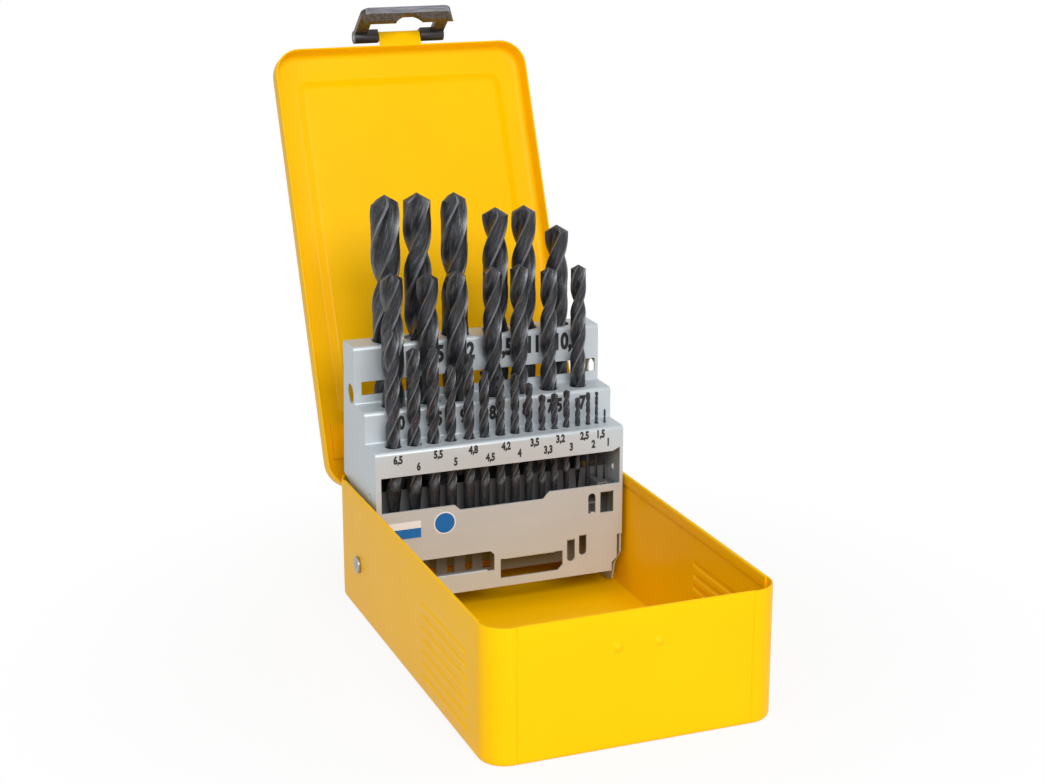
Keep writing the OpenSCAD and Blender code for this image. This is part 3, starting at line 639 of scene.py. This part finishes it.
def crease_place(tray, half_w):
    """How far to either side the two creases run up the front wall."""
    return half_w - tray.corner - tray.crease_half - 0.5 * MM


def front_rise(tray, half_w, x, z):
    """How far the front wall stands out at a place, for its dimples and its two creases."""
    away = math.hypot(abs(x) - tray.dimple_pitch / 2, z - tray.dimple_height)
    groove = tray.crease * bell(abs(abs(x) - crease_place(tray, half_w)), tray.crease_half)
    return tray.dimple_proud * bell(away, tray.dimple_half) ** 0.8 - groove


def wall_rise(tray, half_w, half_l, core, out, z):
    """How far a wall stands out of its flat face."""
    if out.z == 0 and abs(out.x) == 1:
        return rib_rise(tray, half_l, core.y, z)
    if out.x == 0 and out.y == -1:
        return front_rise(tray, half_w, core.x, z)
    return 0.0


def marks_round(middle, reach, count):
    """Samples over a pressed mark, and one on each side that keeps the shading of the wall flat."""
    flat = 0.4 * MM
    low, high = middle - reach, middle + reach
    return [low - flat, *steps(low, high, count), high + flat]


def tray_marks(tray, half_w, half_l):
    """Where the side walls and the front wall take extra samples."""
    start = -half_l + tray.rib_front
    side = []
    for end in (start, start + tray.rib_len):
        side += marks_round(end, tray.rib_half, 8)
    line = crease_place(tray, half_w)
    front = []
    for x, reach in ((tray.dimple_pitch / 2, tray.dimple_half), (line, tray.crease_half)):
        front += marks_round(-x, reach, 12) + marks_round(x, reach, 12)
    return side, front


def tray_shell(skin, tray):
    """The tray as one closed skin: foot, walls with their pressed marks, rim and inside."""
    half_w, half_l, height = tray_faces()
    side, front = tray_marks(tray, half_w, half_l)
    samples = way_round(half_w, half_l, tray.corner, count=12, side_marks=side, front_marks=front)
    foot, sheet = tray.foot_round, tray.sheet
    rim = sheet / 2
    below_hem = 0.1 * MM
    top = height - rim - below_hem
    rings_up = 116
    heights = steps(tray.rib_low - tray.rib_half, tray.dimple_height + tray.dimple_half, rings_up)
    outside = arc(-foot, foot, foot, -90, 0, 5) + [(0, z) for z in heights]
    inside = [(-sheet, z) for z in reversed(heights)] + arc(-foot, foot, foot - sheet, 0, -90, 5)
    path = outside + arc(-rim, top, rim, 0, 180, 6) + inside
    rings = []
    for out_by, z in path:
        ring = []
        for core, out in samples:
            rise = wall_rise(tray, half_w, half_l, core, out, z)
            ring.append(core + out * (tray.corner + out_by + rise) + Vector((0, 0, z)))
        rings.append(ring)
    skin.loft(rings)


def tray_hems(skin, tray):
    """The second thickness along the straight runs of the rim, folded over at the top."""
    half_w, half_l, height = tray_faces()
    sheet = tray.sheet
    fold = arc(sheet, height - sheet, sheet, 180, 0, 10)
    lower = arc(1.5 * sheet, height - tray.hem + sheet / 2, sheet / 2, 0, -180, 6)
    section = fold + lower
    run_x = half_w - tray.corner - tray.hem_gap
    run_y = half_l - tray.corner - tray.hem_gap
    for wall in (-half_w, half_w):
        skin.loft(bar_along(section, "Y", -run_y, run_y, wall))
    for wall in (-half_l, half_l):
        skin.loft(bar_along(section, "X", -run_x, run_x, wall))


class CASE_OT_make_tray(bpy.types.Operator):
    """Make the painted tray with its ribs, dimples and hems"""
    bl_idname = "bit_case.make_tray"
    bl_label = "Tray"

    def execute(self, context):
        skin = Skin()
        tray_shell(skin, context.scene.case_tray)
        tray_hems(skin, context.scene.case_tray)
        skin.piece("tray", "yellow_enamel", "case_base", "yellow_paint", ["base_tray"])
        return {"FINISHED"}


# Lid -------------------------------------------------------------------------------------------

def lid_faces(lid):
    """Half width, half length, middle and heights of the closed lid."""
    half_w, half_l, height = tray_faces()
    front = -half_l - lid.outside
    rear = half_l + lid.overhang
    rim = height - lid.lap
    return half_w + lid.outside, (rear - front) / 2, (rear + front) / 2, rim, rim + lid.depth


def press_path(lid, top):
    """The slope round the pressed centre as (inset from the side, height), from the middle out.

    It is level for a short way at its foot and its head, and mostly straight between them."""
    level, straight = 0.07, 0.75
    path = []
    for t in (0, 0.04, 0.1, 0.3, 0.5, 0.7, 0.84, 0.93, 1):
        fall = min(max((1 - level - t) / (1 - 2 * level), 0), 1)
        fall = straight * fall + (1 - straight) * smooth(fall)
        path.append((lid.press_side + lid.press_slope * (1 - t), top - lid.press_depth * fall))
    return path


def lid_rings(lid):
    """The lid's skin, from the middle of its outer face over the rim to that of its inner face."""
    half_w, half_l, middle, rim, top = lid_faces(lid)
    corner = bpy.context.scene.case_tray.corner + lid.outside
    sheet = lid.sheet
    edge = lid.edge_round

    def press_ring(inset, z):
        further = inset - lid.press_side
        radius = max(lid.press_corner - further, 0.5 * MM)
        long = half_l - (lid.press_front + lid.press_rear) / 2 - further
        shift = (lid.press_front - lid.press_rear) / 2
        return rounded_ring(half_w - inset, long, radius, z, middle + shift)

    def skirt_ring(inset, z):
        return rounded_ring(half_w - inset, half_l - inset, corner - inset, z, middle)

    outer = press_path(lid, top)
    rings = [press_ring(inset, z) for inset, z in outer]
    skirt = [(edge - u, z) for u, z in arc(0, top - edge, edge, 90, 0, 6)]
    skirt += [(sheet / 2 - u, z) for u, z in arc(0, rim + sheet / 2, sheet / 2, 0, -180, 6)]
    skirt += [(edge - u, z) for u, z in arc(0, top - edge, edge - sheet, 0, 90, 6)]
    rings += [skirt_ring(inset, z) for inset, z in skirt]
    rings += [press_ring(inset, z - sheet) for inset, z in reversed(outer)]
    return rings


def tab_rings(lid):
    """The tab: it leaves the skirt's edge and rolls up round the clip's pin."""
    sheet = lid.sheet
    axis = CLOSED_CLIP_AXIS
    mean = lid.tube / 2 - sheet / 2
    skirt_y = lid_faces(lid)[2] - lid_faces(lid)[1]
    path = [(skirt_y + sheet / 2, axis.z - mean), (axis.y, axis.z - mean)]
    roll_from, roll_to, roll_steps = -90, -400, 26
    path += arc(axis.y, axis.z, mean, roll_from, roll_to, roll_steps)[1:]
    rings = []
    for i, (y, z) in enumerate(path):
        ahead = path[min(i + 1, len(path) - 1)]
        behind = path[max(i - 1, 0)]
        run = Vector((0, ahead[0] - behind[0], ahead[1] - behind[1])).normalized()
        off = Vector((0, -run.z, run.y)) * sheet / 2
        middle = Vector((0, y, z))
        side = Vector((lid.tab_half, 0, 0))
        rings.append([middle - side - off, middle + side - off,
                      middle + side + off, middle - side + off])
    return rings


class CASE_OT_make_lid(bpy.types.Operator):
    """Make the painted lid with its pressed centre and rolled tab"""
    bl_idname = "bit_case.make_lid"
    bl_label = "Lid"

    def execute(self, context):
        lid = context.scene.case_lid
        skin = Skin()
        skin.loft(lid_rings(lid))
        skin.loft(tab_rings(lid))
        skin.move(OPENED)
        skin.piece("lid", "yellow_enamel", "lid", "yellow_paint", ["lid_shell"])
        return {"FINISHED"}


# Pieces kept from the frame --------------------------------------------------------------------

def dress(nodes, material, bevel=0.12, segments=2):
    """Gives CAD pieces their finish and softens their edges by a few tenths of a millimetre."""
    for name in nodes:
        piece = frame["nodes"][name]
        piece.data.materials.clear()
        piece.data.materials.append(finish(material))
        weld = piece.modifiers.new("Weld", "WELD")
        weld.merge_threshold = 0.002 * MM
        soften = piece.modifiers.new("Edges", "BEVEL")
        soften.limit_method = "ANGLE"
        soften.angle_limit = math.radians(40)
        soften.width = bevel * MM
        soften.segments = segments
        soften.use_clamp_overlap = True
        soften.harden_normals = True


class CASE_OT_dress_hinge(bpy.types.Operator):
    """Dress the hinge, its rivets and the lid's lugs"""
    bl_idname = "bit_case.dress_hinge"
    bl_label = "Hinge"

    def execute(self, context):
        dress(["hinge_leaf_base", "hinge_leaf_lid", "lid_lug_left", "lid_lug_right"],
              "yellow_enamel")
        dress(["hinge_pin", "hinge_rivets", "pivot_rivets", "pivot_spacers"], "rivet_steel")
        return {"FINISHED"}


class CASE_OT_make_clip(bpy.types.Operator):
    """Dress the latch clip and its pin"""
    bl_idname = "bit_case.make_clip"
    bl_label = "Latch clip"

    def execute(self, context):
        dress(["latch_clip"], "clip_plastic", 0.6, 4)
        dress(["latch_pin"], "rivet_steel")
        return {"FINISHED"}


class CASE_OT_dress_stand(bpy.types.Operator):
    """Dress the stand's folded sheet, cheeks, guides, shelves and lift links"""
    bl_idname = "bit_case.dress_stand"
    bl_label = "Stand"

    def execute(self, context):
        dress(["stand_sheet", "cheek_left", "cheek_right"], "stand_steel", 0.1)
        # The guides and shelves take the inner steel, whose dark tone is partly painted shade.
        dress(["front_guide", "rear_guide", "front_shelf", "middle_shelf", "back_shelf"],
              "inner_steel_with_painted_shade", 0.1)
        dress(["lift_link_left", "lift_link_right", "link_studs"], "rivet_steel", 0.1)
        return {"FINISHED"}


# Sizes printed on the stand --------------------------------------------------------------------

# Each printed size with its place across and its height, in millimetres.
FRONT_PRINT = (
    ("6,5", -47.5, 75.7), ("6", -38.3, 71.8), ("5,5", -29.3, 76.2), ("5", -21.4, 72),
    ("4,8", -13.3, 76.4), ("4,5", -5.4, 72.1), ("4,2", 1.9, 76.3), ("4", 8.2, 72.4),
    ("3,5", 15.3, 76.5), ("3,3", 21.7, 72.4), ("3,2", 27.5, 76.7), ("3", 32.7, 72.4),
    ("2,5", 39, 76.8), ("2", 43.3, 72.4), ("1,5", 46.7, 76.7), ("1", 50.4, 72.6),
)
MIDDLE_PRINT = (
    ("10", -42.6, 87.5), ("9,5", -26, 87.5), ("9", -12.6, 87.5), ("8,5", 3.2, 87.5),
    ("8", 16.7, 87.5), ("7,5", 30.6, 87.5), ("7", 43.9, 87.5),
)
BACK_PRINT = (
    ("13", -39.7, 112.5), ("12,5", -22.5, 112.5), ("12", -5.6, 112.5), ("11,5", 10, 112.5),
    ("11", 26.1, 112.5), ("10,5", 42, 112.5),
)

# How high the digits on each plate are.
FRONT_DIGITS = 3.4 * MM
MIDDLE_DIGITS = 5.9 * MM
BACK_DIGITS = 7.2 * MM

# How far the two upper plates' faces lie behind the front of the guides inside them.
MIDDLE_FACE = -0.2 * MM
BACK_FACE = 0.7 * MM


def print_words(skin, words, face_y, digit_height):
    """Adds the printed sizes of one plate, narrow and bold, to the skin."""
    cap_share = 0.71
    narrow = 0.72
    bold = 0.075
    ink = 0.03 * MM
    for text, x, z in words:
        curve = bpy.data.curves.new("word", "FONT")
        curve.body = text
        curve.align_x = "CENTER"
        curve.align_y = "CENTER"
        curve.size = digit_height / cap_share
        curve.offset = bold * digit_height
        curve.extrude = ink
        curve.resolution_u = 3
        word = bpy.data.objects.new("word", curve)
        bpy.context.scene.collection.objects.link(word)
        bpy.context.view_layer.update()
        shape = word.evaluated_get(bpy.context.evaluated_depsgraph_get()).to_mesh()
        start = len(skin.points)
        for vertex in shape.vertices:
            across, up, out = vertex.co
            skin.points.append(Vector((x * MM + narrow * across, face_y - out, z * MM + up)))
        skin.faces += [tuple(start + v for v in face.vertices) for face in shape.polygons]
        bpy.data.objects.remove(word)
        bpy.data.curves.remove(curve)


class CASE_OT_print_sizes(bpy.types.Operator):
    """Print the drill sizes on the stand's upright plates"""
    bl_idname = "bit_case.print_sizes"
    bl_label = "Printed sizes"

    def execute(self, context):
        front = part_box("stand_sheet")[0].y
        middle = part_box("front_guide")[0].y + MIDDLE_FACE
        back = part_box("rear_guide")[0].y + BACK_FACE
        skin = Skin()
        print_words(skin, FRONT_PRINT, front, FRONT_DIGITS)
        print_words(skin, MIDDLE_PRINT, middle, MIDDLE_DIGITS)
        print_words(skin, BACK_PRINT, back, BACK_DIGITS)
        skin.piece("printed_sizes", "printed_black", "stand", "stand_steel")
        return {"FINISHED"}


class CASE_OT_dress_labels(bpy.types.Operator):
    """Dress the two stickers"""
    bl_idname = "bit_case.dress_labels"
    bl_label = "Stickers"

    def execute(self, context):
        for node, material in (("label_plain", "sticker_plain"), ("label_disc", "sticker_disc")):
            piece = frame["nodes"][node]
            piece.data.materials.clear()
            piece.data.materials.append(finish(material))
        return {"FINISHED"}


# Bits ------------------------------------------------------------------------------------------

# How far some of the drills are turned in their holes, in degrees.
TURNED = {"bit_13_0": -44, "bit_12_5": 65, "bit_12_0": -78, "bit_7_0": -47}


def drill_section(bits, depth, web):
    """Half a turn as (angle, share of the radius, pale edge): a flute, a land and its margin. The
    pale edge is partly the ground finish and partly a painted highlight.

    The flutes are cut to a share of their full depth."""
    shares = []
    for t in steps(0, 1, 13):
        valley = math.sin(math.pi * t ** 0.85) ** 0.62 if 0 < t < 1 else 0
        shares.append((t * bits.flute_angle, 1 - depth * (1 - web) * valley, depth * (t in (0, 1))))
    land = math.pi - bits.flute_angle
    relief = bits.relief * depth
    margin_start = land - bits.margin_angle
    for t in (0.08, 0.3, 0.55, 0.8, 0.98):
        shares.append((bits.flute_angle + t * margin_start, 1 - relief, 0.0))
    for t in (0.1, 0.9):
        shares.append((bits.flute_angle + margin_start + t * bits.margin_angle, 1, depth))
    return shares


def fluted_share(size):
    """How much of a drill's length its flutes take: a thin drill has the longer shank."""
    return 0.8 - 0.6 / (size + 0.3)


def drill_rings(bits, low, high, turned):
    """One drill between the corners of its CAD box, from the shank's end to the tip.

    Gives its rings, their places before the twist in radii, and how far each is painted pale as an
    edge: partly ground finish, partly painted highlight."""
    radius = (high.x - low.x) / 2
    middle = Vector(((low.x + high.x) / 2, (low.y + high.y) / 2, 0))
    total = high.z - low.z
    size = 2 * radius / MM
    flute_low = high.z - fluted_share(size) * total
    pitch = 2 * math.pi * radius / math.tan(bits.helix)
    cone = 1 / math.tan(bits.point / 2)
    tip_low = high.z - radius * cone

    flow, edges = [], []

    def ring(z, depth, web, shrink=1.0, pointed=False):
        turn = turned + 2 * math.pi * (z - flute_low) / pitch
        points = []
        for half in (0, math.pi):
            for angle, part, edge in drill_section(bits, depth, web):
                reach = radius * part * shrink
                up = high.z - reach * cone if pointed else z
                before = half + angle
                flow.append((part * math.cos(before), part * math.sin(before), up / radius))
                # How far this point is painted pale as an edge: partly ground finish, partly
                # painted highlight.
                edges.append(edge)
                way = turn + before
                if pointed:
                    way += 2 * math.pi * (up - z) / pitch
                points.append(middle + Vector((reach * math.cos(way), reach * math.sin(way), up)))
        return points

    chamfer = min(bits.chamfer, 0.3 * radius)
    rings = [ring(low.z, 0, 1, 1 - chamfer / radius), ring(low.z + chamfer, 0, 1),
             ring(flute_low - 0.01 * MM, 0, 1)]
    turns = (tip_low - flute_low) / pitch
    rings_in_turn = 30 if size > 4 else 22
    for z in steps(flute_low, tip_low, max(10, math.ceil(turns * rings_in_turn))):
        depth = smooth(min(1, (z - flute_low) / (bits.run_out * radius)))
        far = (z - flute_low) / (tip_low - flute_low)
        rings.append(ring(z, depth, bits.web_shank + (bits.web - bits.web_shank) * far))
    for shrink in (1.0, 0.62, 0.3, 0.06):
        rings.append(ring(tip_low, 1, bits.web, shrink, True))
    return rings, flow, edges


class CASE_OT_make_bits(bpy.types.Operator):
    """Make the twist drills"""
    bl_idname = "bit_case.make_bits"
    bl_label = "Twist drills"

    def execute(self, context):
        bits = context.scene.case_bits
        names = [name for name in frame["nodes"] if name.startswith("bit_")]
        if not names:
            raise RuntimeError("the frame holds no bits")
        for name in sorted(names):
            skin = Skin()
            turned = math.radians(TURNED.get(name, 0))
            rings, skin.flow, skin.edge = drill_rings(bits, *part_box(name), turned)
            skin.loft(rings)
            skin.piece(name.replace("bit", "drill"), "drill_steel", name, "drill_steel", [name], 38)
        return {"FINISHED"}


# Stage -----------------------------------------------------------------------------------------

def white_to_viewer(f):
    """1 for rays from the camera, from reflections and through glass, and 0 for the others."""
    rays = [f.node("ShaderNodeLightPath", out=name)
            for name in ("Is Camera Ray", "Is Glossy Ray", "Is Transmission Ray")]
    return (rays[0] + rays[1] + rays[2]).clamped()


def make_world(stage):
    """White to the viewer and in reflections, and a plain level of light on everything."""
    world = bpy.data.worlds.new("soft_room")
    bpy.context.scene.world = world
    f = Finish(world)
    light = f.node("ShaderNodeBackground", {}, {"Color": (1, 1, 1, 1), "Strength": stage.sky})
    white = f.node("ShaderNodeBackground", {}, {"Color": (1, 1, 1, 1), "Strength": 1.0})
    mixed = f.node("ShaderNodeMixShader", {}, {0: white_to_viewer(f), 1: light, 2: white})
    f.node("ShaderNodeOutputWorld", {}, {"Surface": mixed})


def make_floor(stage):
    """A plain pale floor that keeps the object's shadow."""
    f = new_finish("floor")
    paint = f.node("ShaderNodeBsdfDiffuse", {}, {"Color": shade([stage.floor_grey] * 3)})
    glow = f.node("ShaderNodeEmission", {}, {"Color": (1, 1, 1, 1), "Strength": 1.0})
    across, along = f.axis("X"), f.axis("Y")
    away = (across * across + along * along) ** 0.5
    far = ((away - stage.floor_near) / (stage.floor_far - stage.floor_near)).clamped()
    white = stage.floor_glow + (1 - stage.floor_glow) * far
    mixed = f.node("ShaderNodeMixShader", {}, {0: white_to_viewer(f) * white, 1: paint, 2: glow})
    f.node("ShaderNodeOutputMaterial", {}, {"Surface": mixed})
    mesh = bpy.data.meshes.new("floor")
    half = stage.floor_half
    corners = [(-half, -half, 0), (half, -half, 0), (half, half, 0), (-half, half, 0)]
    mesh.from_pydata(corners, [], [(0, 1, 2, 3)])
    mesh.materials.append(f.owner)
    floor = bpy.data.objects.new("floor", mesh)
    bpy.context.scene.collection.objects.link(floor)


def area_light(name, place, aim, sides, watts):
    """A soft box."""
    light = bpy.data.lights.new(name, "AREA")
    light.shape = "RECTANGLE"
    light.size, light.size_y = sides
    light.energy = watts
    lamp = bpy.data.objects.new(name, light)
    lamp.location = place
    lamp.rotation_euler = (Vector(aim) - Vector(place)).to_track_quat("-Z", "Y").to_euler()
    bpy.context.scene.collection.objects.link(lamp)


def make_camera(stage):
    """The camera, at the photograph's angle."""
    data = bpy.data.cameras.new("camera")
    data.sensor_fit = "HORIZONTAL"
    data.sensor_width = stage.sensor
    data.lens = stage.lens
    data.clip_start = 0.01
    camera = bpy.data.objects.new("camera", data)
    place = Vector(stage.camera_place)
    look = (Vector(stage.camera_aim) - place).to_track_quat("-Z", "Y")
    camera.matrix_world = (Matrix.Translation(place) @ look.to_matrix().to_4x4()
                           @ Matrix.Rotation(stage.camera_roll, 4, "Z"))
    bpy.context.scene.collection.objects.link(camera)
    bpy.context.scene.camera = camera


class CASE_OT_make_stage(bpy.types.Operator):
    """Make the camera, the lights, the floor and the white room"""
    bl_idname = "bit_case.make_stage"
    bl_label = "Stage"

    def execute(self, context):
        stage = context.scene.case_stage
        make_camera(stage)
        make_world(stage)
        make_floor(stage)
        area_light("key", stage.key_place, stage.light_aim, stage.key_size, stage.key)
        area_light("fill", stage.fill_place, stage.light_aim, stage.fill_size, stage.fill)
        context.scene.view_settings.view_transform = "Standard"
        return {"FINISHED"}


# Panel and registration ------------------------------------------------------------------------

OPERATORS = (
    CASE_OT_make_stage, CASE_OT_make_tray, CASE_OT_make_lid, CASE_OT_dress_hinge, CASE_OT_make_clip,
    CASE_OT_dress_stand, CASE_OT_print_sizes, CASE_OT_dress_labels, CASE_OT_make_bits,
)


class CASE_PT_panel(bpy.types.Panel):
    """Lists the operators and the settings"""
    bl_label = "Drill Bit Case"
    bl_idname = "CASE_PT_panel"
    bl_space_type = "VIEW_3D"
    bl_region_type = "UI"
    bl_category = "Bit Case"

    def draw(self, context):
        for operator in OPERATORS:
            self.layout.operator(operator.bl_idname)
        for name, group in SETTINGS.items():
            box = self.layout.box()
            box.label(text=group.__doc__)
            for key in group.__annotations__:
                box.prop(getattr(context.scene, name), key)


CLASSES = (*SETTINGS.values(), *OPERATORS, CASE_PT_panel)


def register():
    for each in CLASSES:
        bpy.utils.register_class(each)
    for name, group in SETTINGS.items():
        setattr(bpy.types.Scene, name, PointerProperty(type=group))


def unregister():
    for name in SETTINGS:
        delattr(bpy.types.Scene, name)
    for each in reversed(CLASSES):
        bpy.utils.unregister_class(each)


def main():
    """Registers the add-on and runs its operators in order."""
    register()
    for operator in OPERATORS:
        group, _, name = operator.bl_idname.partition(".")
        getattr(getattr(bpy.ops, group), name)()
    bpy.context.view_layer.update()


if __name__ == "__main__":
    main()
